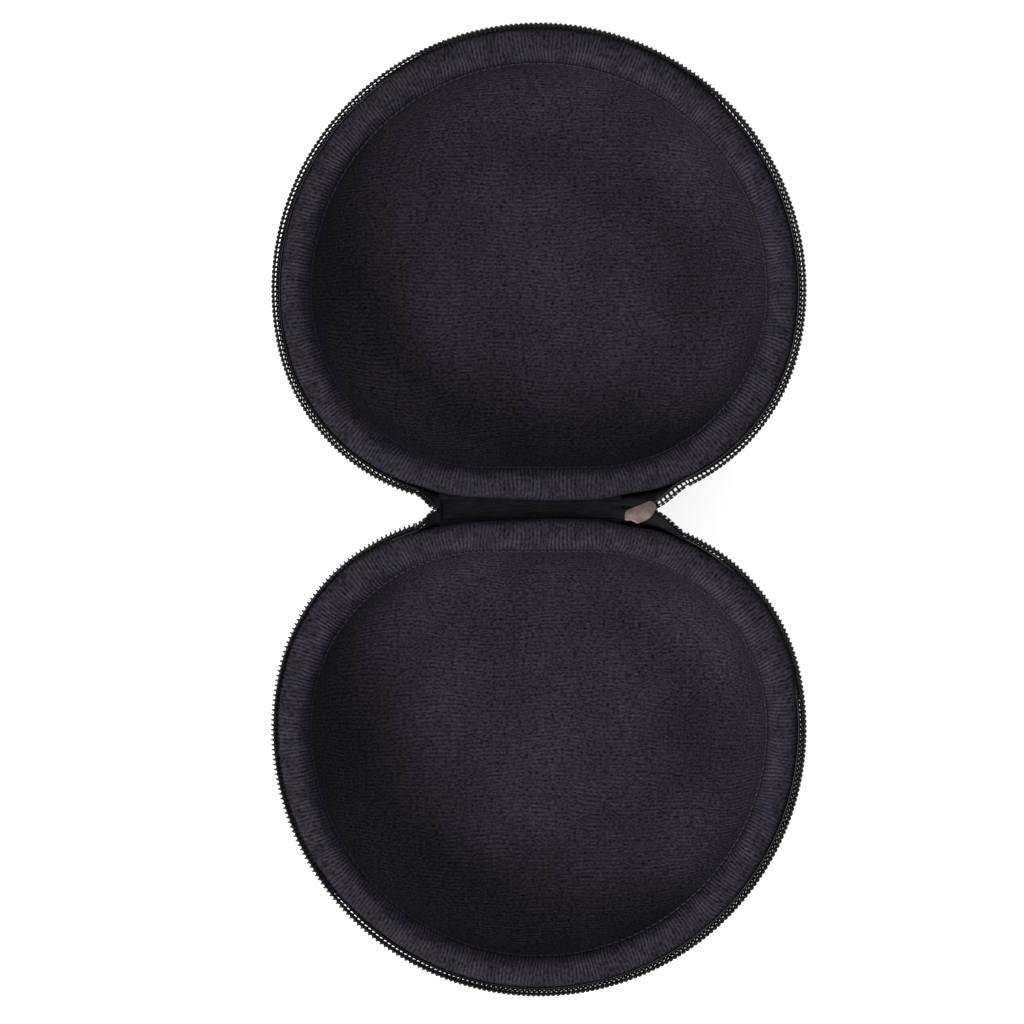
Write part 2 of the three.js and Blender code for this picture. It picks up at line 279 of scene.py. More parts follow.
def grid_piece(name, half, points, cloth, surface, wrap_rows=False, wrap_columns=False):
    """A closed tube-like grid of points (rows, columns, 3), capped where its rows don't wrap.
    cloth has one more row or column than the points where the grid wraps."""
    rows, columns = points.shape[:2]
    quads, row, column = grid_quads(rows, columns, wrap_rows, wrap_columns)
    corners = cloth[row, column].reshape(-1, 2)
    faces = quads.tolist()
    if not wrap_rows:
        ends = [list(range(columns)), list(range((rows - 1) * columns, rows * columns))]
        faces += ends
        corners = np.concatenate([corners, cloth[0, :columns], cloth[-1, :columns]])
    return make_piece(name, half, points, faces, surface, corners)


def slab(name, half, middle, thickness, cloth, surface, wrap_rows=False):
    """A sheet of cloth with real thickness about its middle surface (rows, columns, 3)."""
    along = np.gradient(middle, axis=0)
    if wrap_rows:
        along = np.roll(middle, -1, 0) - np.roll(middle, 1, 0)
    across = np.gradient(middle, axis=1)
    half_way = unit(np.cross(along, across)) * thickness / 2
    points = np.concatenate([middle + half_way, (middle - half_way)[:, ::-1]], 1)
    both = np.concatenate([cloth, cloth[:, ::-1], cloth[:, :1]], 1)
    return grid_piece(name, half, points, both, surface, wrap_rows, wrap_columns=True)


def sheet_cloth(along, middle):
    """Places in a sheet's cloth: along it as given, and across it by its middle surface."""
    steps = np.linalg.norm(np.diff(middle, axis=1), axis=2)
    across = np.concatenate([np.zeros((len(along), 1)), np.cumsum(steps, 1)], 1)
    return np.stack([np.broadcast_to(along[:, None], across.shape), across], 2)


def sweep(path, side, rise, across, up, sides=6):
    """Rings of points round a path: an ellipse with these half-sizes along side and rise."""
    turn = np.arange(sides) * 2 * math.pi / sides
    across = np.broadcast_to(across, len(path))[:, None, None]
    up = np.broadcast_to(up, len(path))[:, None, None]
    return (path[:, None] + side[:, None] * across * np.cos(turn)[None, :, None]
            + rise[:, None] * up * np.sin(turn)[None, :, None])


def frames_along(path, reference):
    """Directions across a path, the first as near to the reference direction as it can be."""
    tangent = unit(np.gradient(path, axis=0))
    side = unit(reference - (reference * tangent).sum(1, keepdims=True) * tangent)
    return side, np.cross(tangent, side)


class Bundle:
    """Closed solids collected into one mesh."""

    def __init__(self, *rods):
        self.points = []
        self.faces = []
        self.cloth = []
        self.count = 0
        for rings in rods:
            self.add(rings)

    def add_solid(self, points, faces):
        self.points.append(np.asarray(points, float))
        self.faces += [[self.count + k for k in face] for face in faces]
        self.count += len(points)

    def add(self, rings):
        """A closed rod through these rings of points, with its place along and round as cloth."""
        rows, columns = rings.shape[:2]
        quads, row, column = grid_quads(rows, columns, wrap_columns=True)
        faces = quads.tolist()
        faces.append(list(range(columns)))
        faces.append(list(range((rows - 1) * columns, rows * columns)))
        along = distances(rings.mean(1))
        self.cloth.append(np.stack([along[row], column / columns], 2).reshape(-1, 2))
        self.cloth.append(np.zeros((2 * columns, 2)))
        self.add_solid(rings.reshape(-1, 3), faces)

    def piece(self, name, half, surface):
        cloth = np.concatenate(self.cloth) if self.cloth else None
        return make_piece(name, half, np.concatenate(self.points), self.faces, surface, cloth)


# ---- Materials ----

class Surface:
    """A node material round one Principled shader, with short calls for its nodes."""

    def __init__(self, name, shine=0.5, **sockets):
        self.material = bpy.data.materials.new(name)
        self.material.use_nodes = True
        self.tree = self.material.node_tree
        self.shader = self.tree.nodes["Principled BSDF"]
        self.shader.inputs["Specular IOR Level"].default_value = shine
        for socket, value in sockets.items():
            self.shader.inputs[socket.replace("_", " ")].default_value = value

    def node(self, kind, inputs=(), **settings):
        made = self.tree.nodes.new("ShaderNode" + kind)
        for name, value in settings.items():
            setattr(made, name, value)
        for socket, value in dict(inputs).items():
            self.give(made.inputs[socket], value)
        return made

    def give(self, socket, value):
        if isinstance(value, bpy.types.NodeSocket):
            self.tree.links.new(value, socket)
        else:
            socket.default_value = value

    def cloth(self):
        """A place in the cloth, in millimetres, and its two parts."""
        cloth = self.node("UVMap", uv_map="cloth").outputs["UV"]
        return cloth, *self.split(cloth)[:2]

    def place(self):
        """A place in the piece itself, in millimetres."""
        here = self.node("TexCoord").outputs["Object"]
        return self.node("VectorMath", {0: here, 3: 1 / MM}, operation="SCALE").outputs[0]

    def stretch(self, vector, x, y, z=1):
        scaled = self.node("VectorMath", {0: vector, 1: (x, y, z)}, operation="MULTIPLY")
        return scaled.outputs[0]

    def split(self, vector):
        return self.node("SeparateXYZ", {0: vector}).outputs

    def join(self, x, y, z=0.0):
        return self.node("CombineXYZ", {0: x, 1: y, 2: z}).outputs[0]

    def math(self, operation, a, b=0.0, c=0.0):
        return self.node("Math", {0: a, 1: b, 2: c}, operation=operation).outputs[0]

    def times(self, a, b):
        return self.math("MULTIPLY", a, b)

    def noise(self, vector, scale, detail=2.0, roughness=0.5):
        inputs = {"Vector": vector, "Scale": scale, "Detail": detail, "Roughness": roughness}
        return self.node("TexNoise", inputs).outputs[0]

    def remap(self, value, low, high, to_low=0.0, to_high=1.0):
        inputs = {0: value, 1: low, 2: high, 3: to_low, 4: to_high}
        return self.node("MapRange", inputs).outputs[0]

    def between(self, grain, low=0.0, high=1.0):
        """A value that a noise moves from low to high."""
        return self.remap(grain, 0.3, 0.7, low, high)

    def wave(self, value, pitch, shift=0.0):
        """A smooth wave from 0 to 1 with this pitch, 1 at the shift."""
        angle = self.math("MULTIPLY_ADD", value, 2 * math.pi / pitch, shift)
        return self.math("MULTIPLY_ADD", self.math("COSINE", angle), 0.5, 0.5)

    def mix(self, share, a, b):
        """A blend of two colours, each a socket or a plain red, green and blue."""
        blended = self.node("Mix", data_type="RGBA")
        self.give(blended.inputs[0], share)
        for socket, colour in ((6, a), (7, b)):
            self.give(blended.inputs[socket], (*colour, 1.0) if isinstance(colour, tuple) else colour)
        return blended.outputs[2]

    def finish(self, colour, roughness=None, height=None, depth=0.1):
        """depth is how far the bump stands out at full height, in millimetres."""
        self.give(self.shader.inputs["Base Color"], colour)
        if roughness is not None:
            self.give(self.shader.inputs["Roughness"], roughness)
        if height is not None:
            bump = self.node("Bump", {"Strength": 1.0, "Distance": depth * MM, "Height": height})
            self.give(self.shader.inputs["Normal"], bump.outputs[0])
        return self.material


def knit_lining():
    """Fine knit: short dashes in rows 1.25 mm apart over a mottled grain, and specks of lint."""
    s = Surface("knit_lining", 0.05)
    cloth, u, v = s.cloth()
    sway = s.noise(cloth, 0.02, 2.0)
    v = s.math("ADD", v, s.times(sway, 12.0))
    row = s.wave(v, 1.25)
    number = s.math("FLOOR", s.math("DIVIDE", v, 1.25))
    dash = s.noise(s.join(s.times(u, 0.55), s.times(number, 7.31)), 1.0, 1.0)
    dash = s.remap(dash, 0.36, 0.60)
    patch = s.remap(s.noise(cloth, 0.05, 4.0, 0.6), 0.38, 0.62, 0.35, 1.0)
    grain = s.remap(s.noise(s.stretch(cloth, 1.0, 1.4), 1.0, 2.0, 0.7), 0.34, 0.66)
    lines = s.times(s.times(row, dash), patch)
    height = s.math("MULTIPLY_ADD", lines, 0.6, s.times(grain, 0.6))
    shade = s.math("MULTIPLY_ADD", lines, 0.45, s.times(grain, 0.62))
    wide = s.remap(s.noise(cloth, 0.02, 2.0), 0.35, 0.65, 0.80, 1.16)
    colour = s.mix(shade, (0.0020, 0.0017, 0.0024), (0.0640, 0.0585, 0.0745))
    colour = s.node("VectorMath", {0: colour, 3: wide}, operation="SCALE").outputs[0]
    cells = s.node("TexVoronoi", {"Vector": cloth, "Scale": 0.075})
    speck = s.math("LESS_THAN", cells.outputs["Distance"], 0.016)
    chosen = s.math("GREATER_THAN", s.split(cells.outputs["Color"])[0], 0.80)
    lint = s.times(speck, chosen)
    colour = s.mix(lint, colour, (0.35, 0.34, 0.36))
    return s.finish(colour, s.between(grain, 0.84, 0.98), height, 0.2)


def rib_binding():
    """Ribbed knit: the ribs are in the mesh, and the colour adds painted shade in the grooves between
    them and a painted shadow at the tucked edge of the inner lip, from where v is measured."""
    s = Surface("rib_binding", 0.05)
    cloth, u, v = s.cloth()
    # Painted shade: the colour is darker in the grooves between the ribs than on their crests.
    crest = s.math("ABSOLUTE", s.math("SINE", s.times(u, math.pi / RIB_PITCH)))
    crest = s.remap(crest, 0.25, 0.95)
    grain = s.remap(s.noise(s.stretch(cloth, 1.4, 0.9), 1.0, 2.0, 0.7), 0.34, 0.66)
    stitch = s.wave(v, 0.6)
    inner = s.remap(v, 7.0, 11.0, 1.0, 0.6)
    patch = s.remap(s.noise(cloth, 0.22, 3.0), 0.38, 0.62, 0.25, 1.0)
    light = s.times(s.times(crest, patch), inner)
    shade = s.math("MULTIPLY_ADD", light, 0.60, s.times(grain, 0.55))
    # Painted shadow: the colour darkens in the 2.6 mm next to the inner lip, under the lip's edge.
    shade = s.times(shade, s.remap(v, 0.6, 2.6, 0.25, 1.0))
    colour = s.mix(shade, (0.0016, 0.0013, 0.0019), (0.0620, 0.0565, 0.0720))
    blue = s.remap(s.noise(cloth, 0.10, 2.0), 0.54, 0.70)
    tinted = s.mix(shade, (0.0026, 0.0022, 0.0055), (0.0555, 0.0505, 0.0780))
    colour = s.mix(blue, colour, tinted)
    height = s.math("MULTIPLY_ADD", stitch, 0.25, s.times(grain, 0.7))
    return s.finish(colour, s.between(grain, 0.80, 0.97), height, 0.14)


def woven(name, shine, dark, light, pitch, depth, roughness):
    """Plain weave: over and under in both directions, with uneven yarns."""
    s = Surface(name, shine)
    cloth, u, v = s.cloth()
    across = s.wave(u, pitch)
    along = s.wave(v, pitch)
    over = s.times(across, along)
    under = s.times(s.math("SUBTRACT", 1.0, across), s.math("SUBTRACT", 1.0, along))
    yarn = s.math("ADD", over, under)
    uneven = s.noise(s.stretch(cloth, 0.2, 1.6), 1.0, 3.0)
    grain = s.noise(cloth, 3.0, 2.0, 0.7)
    shade = s.math("MULTIPLY_ADD", yarn, 0.5, s.remap(uneven, 0.35, 0.65, 0.0, 0.5))
    height = s.math("MULTIPLY_ADD", grain, 0.3, yarn)
    rough = s.between(grain, roughness - 0.08, roughness + 0.08)
    return s.finish(s.mix(shade, dark, light), rough, height, depth)


def thread(name, dark, light):
    """Twisted sewing thread."""
    s = Surface(name, 0.1)
    _, u, v = s.cloth()
    twist = s.wave(s.math("ADD", u, s.times(v, 0.5)), 0.5)
    grain = s.noise(s.place(), 1.3, 2.0)
    shade = s.math("MULTIPLY_ADD", twist, 0.6, s.between(grain, 0.0, 0.4))
    return s.finish(s.mix(shade, dark, light), s.between(grain, 0.6, 0.85),
                    twist, 0.05)


def foam_surface():
    """Moulded closed-cell foam with a fine pebbled skin."""
    s = Surface("moulded_foam", 0.1)
    place = s.place()
    cells = s.node("TexVoronoi", {"Vector": place, "Scale": 1.4}).outputs["Distance"]
    grain = s.noise(place, 0.8, 4.0, 0.65)
    shade = s.between(grain)
    colour = s.mix(shade, (0.012, 0.012, 0.013), (0.022, 0.022, 0.024))
    return s.finish(colour, s.between(grain, 0.85, 0.98), cells, 0.12)


def nylon():
    """Black nylon wire, drawn along its length, with dull rubbed patches."""
    s = Surface("black_nylon", 0.2)
    place = s.place()
    drawn = s.noise(s.stretch(place, 1.0, 1.0, 0.2), 6.0, 3.0, 0.6)
    rubbed = s.remap(s.noise(place, 0.5, 3.0), 0.42, 0.66)
    colour = s.mix(rubbed, (0.0040, 0.0040, 0.0044), (0.0120, 0.0120, 0.0130))
    return s.finish(colour, s.between(drawn, 0.30, 0.52), drawn, 0.03)


def gunmetal():
    """Plated zinc: warm grey, finely brushed, with small dents and a rubbed bloom."""
    s = Surface("gunmetal", Metallic=1.0)
    place = s.place()
    brushed = s.noise(s.stretch(place, 0.5, 6.0, 6.0), 1.5, 3.0, 0.6)
    bloom = s.remap(s.noise(place, 0.35, 4.0, 0.6), 0.35, 0.65)
    colour = s.mix(bloom, (0.185, 0.135, 0.135), (0.255, 0.192, 0.192))
    rough = s.math("MULTIPLY_ADD", bloom, 0.12, s.between(brushed, 0.34, 0.46))
    height = s.math("MULTIPLY_ADD", brushed, 0.4, s.noise(place, 1.1, 4.0, 0.7))
    return s.finish(colour, rough, height, 0.035)


KNIT = knit_lining()
RIBBED = rib_binding()
FOAM = foam_surface()
NYLON = nylon()
GUNMETAL = gunmetal()
COVER = woven("cover_cloth", 0.2, (0.010, 0.010, 0.011), (0.040, 0.039, 0.044), 1.1, 0.14, 0.72)
TAPE = woven("woven_tape", 0.08, (0.0030, 0.0028, 0.0034), (0.0180, 0.0170, 0.0200), 0.8, 0.12,
             0.78)
HINGE_CLOTH = woven("hinge_cloth", 0.05, (0.0008, 0.0008, 0.0010), (0.0145, 0.0132, 0.0170), 0.9,
                    0.10, 0.80)
DARK_THREAD = thread("dark_thread", (0.004, 0.004, 0.005), (0.016, 0.016, 0.018))
SEAM_THREAD = thread("seam_thread", (0.020, 0.019, 0.023), (0.072, 0.067, 0.080))
LIGHT_THREAD = thread("light_thread", (0.030, 0.029, 0.031), (0.120, 0.117, 0.122))


# ---- Shells ----

def dish_curve(inset, floor_drop, wall_drop, steps):
    """A quarter of an ellipse from the flat floor up to the wall at this inset."""
    angle = np.linspace(math.pi / 2, 0, steps)
    return np.stack([
        DISH_INSET - (DISH_INSET - inset) * np.cos(angle),
        wall_drop + (floor_drop - wall_drop) * np.sin(angle)], 1)


def roll_curve(depth, outer_drop, inner_drop, steps):
    """The rolled rim's face, moved in by depth, from its outer lip to its inner lip: squarer
    outside, where it is pressed on the tape, than inside."""
    across = ROLL_HALF_WIDTH - depth
    up = ROLL_HEIGHT - depth
    start = math.pi - math.asin(((ROLL_MIDDLE - outer_drop) / up) ** (1 / OUTER_SQUARENESS))
    end = math.asin((ROLL_MIDDLE - inner_drop) / up)
    angle = np.linspace(start, end, steps)
    power = np.where(angle > math.pi / 2, OUTER_SQUARENESS, 1.0)
    return np.stack([
        ROLL_HALF_WIDTH + across * squared_off(np.cos(angle), power),
        ROLL_MIDDLE - up * squared_off(np.sin(angle), power)], 1)


def unevenness(points):
    """Slow hills and hollows of moulded cloth, from -1 to 1, over points in millimetres."""
    x, y = points[..., 0], points[..., 1]
    return (np.sin(x / 13.1 + np.sin(y / 17.3)) + np.sin(y / 11.7 + 1.7 * np.sin(x / 19.9))) / 2


FLOOR_RINGS = 14


def dish_piece(name, half, profile_out, profile_in, surface, hills=0.0, stations=480):
    """A dished shell: the outer section from the flat back up to the rim, then the inner section
    down to the floor of the bowl, with rings that shrink to the middle of each."""
    runs = np.arange(stations) * SHELL_LINE.length / stations
    place, out = SHELL_LINE.at(runs)
    edge = place - DISH_INSET * out
    shares = np.linspace(0, 1, FLOOR_RINGS)[1:-1]
    rings, cloth = [], []

    def floor_ring(share, drop):
        flat = SHELL_LINE.middle + (edge - SHELL_LINE.middle) * share
        rings.append(at_drop(flat, drop))
        cloth.append(flat)

    def wall(profile):
        """The profile runs from the flat part up, and the distance from there places the cloth."""
        return [(at_drop(place - inset * out, drop), edge + out * away)
                for (inset, drop), away in zip(profile, distances(profile))]

    for share in shares:
        floor_ring(share, profile_out[0][1])
    for points, flat in wall(profile_out) + wall(profile_in)[::-1]:
        rings.append(points)
        cloth.append(flat)
    for share in shares[::-1]:
        floor_ring(share, profile_in[0][1])
    rings, cloth = np.array(rings), np.array(cloth)
    inner = np.arange(len(rings)) >= len(shares) + len(profile_out)
    depth = smooth(RIM - rings[..., 2], INNER_LIP + 1, INNER_LIP + 10)
    rings[..., 2] += hills * unevenness(rings) * depth * inner[:, None]
    count = len(rings)
    cloth = np.concatenate([cloth, cloth[:, :1]], 1)
    quads, row, column = grid_quads(count, stations, wrap_columns=True)
    faces = quads.tolist()
    corners = [cloth[row, column].reshape(-1, 2)]
    points = list(rings.reshape(-1, 3))
    for ring in (0, count - 1):
        middle = np.append(SHELL_LINE.middle, rings[ring, :, 2].mean())
        points.append(middle)
        for k in range(stations):
            after = (k + 1) % stations
            faces.append([len(points) - 1, ring * stations + k, ring * stations + after])
            corners.append(np.array([middle[:2], cloth[ring, k], cloth[ring, after]]))
    return make_piece(name, half, np.array(points), faces, surface, np.concatenate(corners))


foam_outer = COVER_THICKNESS + GAP
foam_depth = BINDING_THICKNESS + GAP
foam_inner = 2 * ROLL_HALF_WIDTH - foam_depth
lining_outer = foam_inner + GAP
lining_inner = lining_outer + LINING_THICKNESS
lining_top = INNER_LIP + GAP
foam_bowl = FLOOR_THICKNESS - LINING_THICKNESS - GAP


def outer_cover(half):
    piece = dish_piece(
        half + "_cover_cloth", half,
        dish_curve(0, RIM, COVER_TOP, 22),
        dish_curve(COVER_THICKNESS, RIM - COVER_THICKNESS, COVER_TOP, 12), COVER)
    settle(piece, half, half + "_outer_cover")


def foam_shell(half):
    inner = dish_curve(foam_inner, RIM - foam_bowl, lining_top, 14)
    roll = roll_curve(foam_depth, COVER_TOP - 0.2, ROLL_MIDDLE, 12)
    piece = dish_piece(
        half + "_moulded_foam", half,
        np.concatenate([dish_curve(foam_outer, RIM - foam_outer, COVER_TOP, 14), roll[:-1]]),
        np.concatenate([inner, roll[-1:]]), FOAM, stations=240)
    settle(piece, half, half + "_foam_shell")


def lining(half):
    """The knit lines the bowl up to the seam under the roll's inner lip."""
    outer = dish_curve(lining_outer, RIM - FLOOR_THICKNESS + LINING_THICKNESS, lining_top, 14)
    inner = dish_curve(lining_inner, RIM - FLOOR_THICKNESS, lining_top, 30)
    piece = dish_piece(half + "_knit_lining", half, outer, inner, KNIT, hills=0.35)
    settle(piece, half, half + "_lining")


def press_table(half):
    """At even runs of the shell's outline, how far the roll presses out, and how far the tape
    bulges beyond it. The roll presses over the hinge strip, and elsewhere until it meets the tape,
    or under the coil where the half is pulled tight."""
    runs = np.linspace(0, SHELL_LINE.length, 721)
    place = SHELL_LINE.at(runs)[0]
    nearest = COIL_LINE.at(COIL_LINE.nearest(place))[0]
    gap = np.linalg.norm(nearest - place, axis=1)
    share = runs / SHELL_LINE.arch
    tight = sum(TIGHT_PRESS * smooth(share, begins, full) * (1 - smooth(share, fades, ends))
                for begins, full, fades, ends in TIGHT[half])
    rim = np.clip(gap - TAPE_INSET + tight, 0, None)
    x = place[:, 0]
    beside = smooth(x, STRIP_LOW.x - 10, STRIP_LOW.x + 4) * (1 - smooth(x, 22, 36))
    hinge = HINGE_BULGE + HINGE_BULGE_MIDDLE * np.exp(-(((x - HINGE_BULGE_X) / 14) ** 2))
    near = 1 - smooth(place[:, 1], 6, 14)
    press = rim * (1 - near * beside) + hinge * beside * near
    slider_room = SLIDER_ROOM[half] * near * np.exp(-(((x - SLIDER_ROOM_X) / 6) ** 2))
    return runs, press * (1 - slider_room), TIGHT_BULGE * tight


PRESS = {half: press_table(half) for half in HALVES}


def press_at(half, run):
    """The roll's press and the tape's bulge at these runs of the shell's outline."""
    runs, press, bulge = PRESS[half]
    run = np.mod(run, SHELL_LINE.length)
    return np.interp(run, runs, press), np.interp(run, runs, bulge)


def rim_binding(half):
    """The ribbed knit round the roll, as two faces of its profile. The ribs slant and sway along
    the rim, differ in depth, and fade towards both lips."""
    ribs = round(SHELL_LINE.length / RIB_PITCH)
    stations = ribs * RIB_STEPS
    runs = np.arange(stations) * SHELL_LINE.length / stations
    outer = roll_curve(0, OUTER_LIP, INNER_LIP, 19)
    inner = roll_curve(BINDING_THICKNESS, OUTER_LIP, INNER_LIP, 6)[::-1]
    profile = np.concatenate([outer, inner])
    place, out = SHELL_LINE.at(runs)
    facing = unit(np.stack([
        (profile[:, 0] - ROLL_HALF_WIDTH) / ROLL_HALF_WIDTH ** 2,
        (profile[:, 1] - ROLL_MIDDLE) / ROLL_HEIGHT ** 2], 1))
    share = np.linspace(0, 1, len(outer))
    slant = np.sin(runs / 23 + 1.3 * np.sin(runs / 9.3))[:, None] * (share - 0.5)[None]
    sway = np.sin(6 * share[None] + (runs / 11 + 1.6 * np.sin(runs / 4.3))[:, None])
    phase = runs[:, None] * ribs / SHELL_LINE.length + 1.1 * slant + 0.3 * sway
    number = np.floor(phase).astype(int) % ribs
    uneven = np.random.default_rng(3).uniform(0.65, 1.0, ribs)[number]
    crest = np.abs(np.sin(math.pi * phase)) ** 0.7
    fade = np.sin(math.pi * np.clip(share * 0.94 + 0.03, 0, 1))[None] ** 0.4
    fade = fade * (0.4 + 0.6 * smooth(share, 0.3, 0.6))[None]
    slow = 0.18 * np.sin(runs / 9.7 + 2 * np.sin(runs / 31))[:, None] * np.sin(math.pi * share)[None]
    stand = np.zeros((stations, len(profile)))
    stand[:, :len(outer)] = RIB_DEPTH * (crest - 1) * uneven * fade + slow * 0.5
    press = press_at(half, runs)[0]
    weight = np.clip(-facing[:, 0], 0, 1)
    inset = profile[None, :, 0] + stand * facing[None, :, 0] - press[:, None] * weight[None]
    drop = profile[None, :, 1] + stand * facing[None, :, 1]
    points = np.empty((stations, len(profile), 3))
    points[..., :2] = place[:, None] - inset[..., None] * out[:, None]
    points[..., 2] = RIM - drop
    across = np.append(distances(profile), 0)
    across = np.abs(across - across[len(outer) - 1])
    along = np.empty((stations + 1, len(profile) + 1))
    along[:-1, :len(outer)] = phase * RIB_PITCH
    along[:-1, len(outer):] = (phase[:, -1] * RIB_PITCH)[:, None]
    along[-1] = along[0] + ribs * RIB_PITCH
    cloth = np.stack([along, np.broadcast_to(across, along.shape)], 2)
    piece = grid_piece(half + "_ribbed_binding", half, points, cloth, RIBBED, True, True)
    settle(piece, half, half + "_rim_binding")


def rod(points, radius, reference):
    """A rounded rod through these points, thinner at its ends."""
    share = np.linspace(-1, 1, len(points))
    size = radius * np.sqrt(np.clip(1 - share ** 6, 0.12, 1))
    return sweep(points, *frames_along(points, reference), size, size)


def binding_seam(half):
    """Slanted stitches that hold the roll's inner lip to the lining."""
    stitches = Bundle()
    pitch, half_length, radius, seam_inset = 2.4, 1.12, 0.26, 8.62
    count = round(SHELL_LINE.length / pitch)
    rng = np.random.default_rng(11)
    for k in range(count):
        reach = half_length * rng.uniform(0.94, 1.04)
        runs = k * SHELL_LINE.length / count + np.linspace(-reach, reach, 7)
        place, out = SHELL_LINE.at(runs)
        share = np.linspace(-1, 1, 7)
        inset = seam_inset + 0.1 * share
        drop = ROLL_MIDDLE + 0.2 + 0.3 * share ** 2
        points = at_drop(place - inset[:, None] * out, drop)
        stitches.add(rod(points, radius, UP[None]))
    settle(stitches.piece(half + "_binding_stitches", half, SEAM_THREAD), half,
           half + "_binding_seam")


# ---- Zipper ----

START = COIL_LINE.run_at(ZIPPER_START)
END = COIL_LINE.run_at(ZIPPER_END)


def chain_height(x):
    """The middle of the closed chain, on its own corner arc."""
    return CHAIN_Z - np.sqrt(CHAIN_RADIUS ** 2 - (x - CHAIN_X) ** 2)


RIGHT_TAIL = 14.5
LEFT_TAIL = 8.5
TAIL_TURN = 0.9  # the share of its length in which a tail turns over
LEFT_TAIL_LEAN = 0.8  # the share of a quarter turn by which the left tail turns over
WEB = 9.5  # how far the right tails' tapes run on beside the closed chain
RIGHT_END = np.array([32.0, 1.15, chain_height(32.0)])
LEFT_END = np.array([-29.6, 1.0, FOLD_Z - 1.4])
# The coil's outward lean in degrees, at shares of the way along the rim.
LEANS = {
    "lid": (
        (0, 0.06, 0.12, 0.2, 0.25, 0.35, 0.5, 0.6, 0.75, 1),
        (38, 24, 14, 20, 15, 6, 12, 14, 22, 16)),
    "base": (
        (0, 0.1, 0.2, 0.3, 0.5, 0.65, 1),
        (14, 14, 19, 18, 16, 4, -7))}
# How far the tape covers the right and the left tail, from the coil's middle towards its heads.
TAIL_COVER = {"lid": (0.0, 1.2), "base": (1.45, 1.3)}


def hermite(share, start, start_way, end, end_way):
    s = share[:, None]
    return ((2 * s ** 3 - 3 * s ** 2 + 1) * start + (s ** 3 - 2 * s ** 2 + s) * start_way
            + (3 * s ** 2 - 2 * s ** 3) * end + (s ** 3 - s ** 2) * end_way)


def on_rim(run):
    place, out = COIL_LINE.at(run)
    return at_drop(place - COIL_INSET * out, COIL_DROP)


def zip_frame(half, run):
    """The coil's middle at these runs, with the directions in (towards the tape), down (away from
    the heads) and along. Before START and after END the coil leaves the rim for the hinge, and
    turns from standing up to lying flat; further on it runs straight beside the hinge."""
    core = on_rim(run)
    step = 0.05
    for edge, end, length, sign in (
            (START, RIGHT_END, RIGHT_TAIL, -1), (END, LEFT_END, LEFT_TAIL, 1)):
        away = sign * (run - edge)
        on = away > 0
        rim_points = on_rim(np.array([edge - step, edge + step]))
        way = unit(rim_points[1] - rim_points[0]) * sign * length
        ahead = np.array([sign, 0, 0]) * length
        share = np.clip(away[on] / length, 0, 1)
        core[on] = hermite(share, on_rim(np.array([edge]))[0], way, end, ahead)
        past = away > length
        core[past, 0] = end[0] + sign * (away[past] - length)
    chain = run < START - RIGHT_TAIL
    core[chain, 2] = chain_height(core[chain, 0])
    shares, leans = LEANS[half]
    lean = np.radians(np.interp(np.clip((run - START) / (END - START), 0, 1), shares, leans))
    quarter = math.pi / 2
    right = smooth(START - run, 0, RIGHT_TAIL * TAIL_TURN)
    left = smooth(run - END, 0, LEFT_TAIL * TAIL_TURN)
    lean += (quarter - lean) * right + (quarter * LEFT_TAIL_LEAN - lean) * left
    along = unit(np.gradient(core, run, axis=0))
    out = unit(np.cross(along, UP))
    up = np.cross(out, along)
    heads = np.cos(lean)[:, None] * up + np.sin(lean)[:, None] * out
    inward = -np.cos(lean)[:, None] * out + np.sin(lean)[:, None] * up
    return core, inward, -heads, along


RUNS = np.arange(START - RIGHT_TAIL - WEB - 1, END + LEFT_TAIL + 3, 0.25)
ZIP_FRAMES = {half: zip_frame(half, RUNS) for half in HALVES}


def from_table(table, run):
    """A table's rows, one for each of RUNS, at these runs."""
    flat = table.reshape(len(RUNS), -1)
    found = np.stack([np.interp(run, RUNS, flat[:, k]) for k in range(flat.shape[1])], 1)
    return found.reshape((len(run),) + table.shape[1:])


def zip_at(half, run):
    return [from_table(part, run) for part in ZIP_FRAMES[half]]


def coil_loop(turns):
    """The wire's way round the coil: how many turns on it is, where it stands across the coil in
    millimetres, where it stands down the coil as a share of its half-height, and how much of a head
    it is. A turn goes up its outer leg, over the head and down its inner leg, and crosses to the
    next turn at the bottom."""
    share = np.tile(TURN_PLACES, turns)
    whole = np.repeat(np.arange(turns), len(TURN_PLACES))
    angle = 2 * math.pi * share
    rise = np.sin(angle)
    across = -np.cos(angle) * (1 - 0.42 * np.clip(rise, 0, 1) ** 0.8)
    across *= np.where(across < 0, OUTER_LEG, INNER_LEG)
    return whole + smooth(share, 0.68, 0.82), across, -rise, smooth(rise, 0.82, 0.96)


def wire(path, along, head):
    """The nylon wire round this path, drawn out along the coil where it forms a head."""
    side, rise = frames_along(path, along)
    corner = np.arange(8) * math.pi / 4
    wide = squared_off(np.cos(corner), 0.6)
    high = squared_off(np.sin(corner), 0.6)
    length = WIRE + (HEAD - WIRE) * head
    return (path[:, None] + side[:, None] * length[:, None, None] * wide[None, :, None]
            + rise[:, None] * WIRE * high[None, :, None])


def coil_mesh(half, first, last):
    turns = int((last - first) / COIL_PITCH)
    turn, across, down_share, head = coil_loop(turns)
    run = first + (turn + (0.5 if half == "lid" else 0.0)) * COIL_PITCH
    core, inward, down, along = zip_at(half, run)
    path = core + across[:, None] * inward + down_share[:, None] * COIL_HALF_HEIGHT * down
    return wire(path, along, head)


def zipper_run(first, last, step):
    count = max(2, round((last - first) / step))
    return np.linspace(first, last, count + 1)


def coil_piece(half, part, first, last):
    """The coil's turns and the cord through them."""
    core, inward, down, _ = zip_at(half, zipper_run(first, last, COIL_PITCH))
    cord, shift = CORDS["left_tail" if part == "left_tail" else half]
    path = core - CORD_RISE * down + shift * inward
    bundle = Bundle(coil_mesh(half, first, last),
                    sweep(path, inward, down, cord, CORD_HALF_HEIGHT))
    return bundle.piece(half + "_zipper_" + part, half, NYLON)


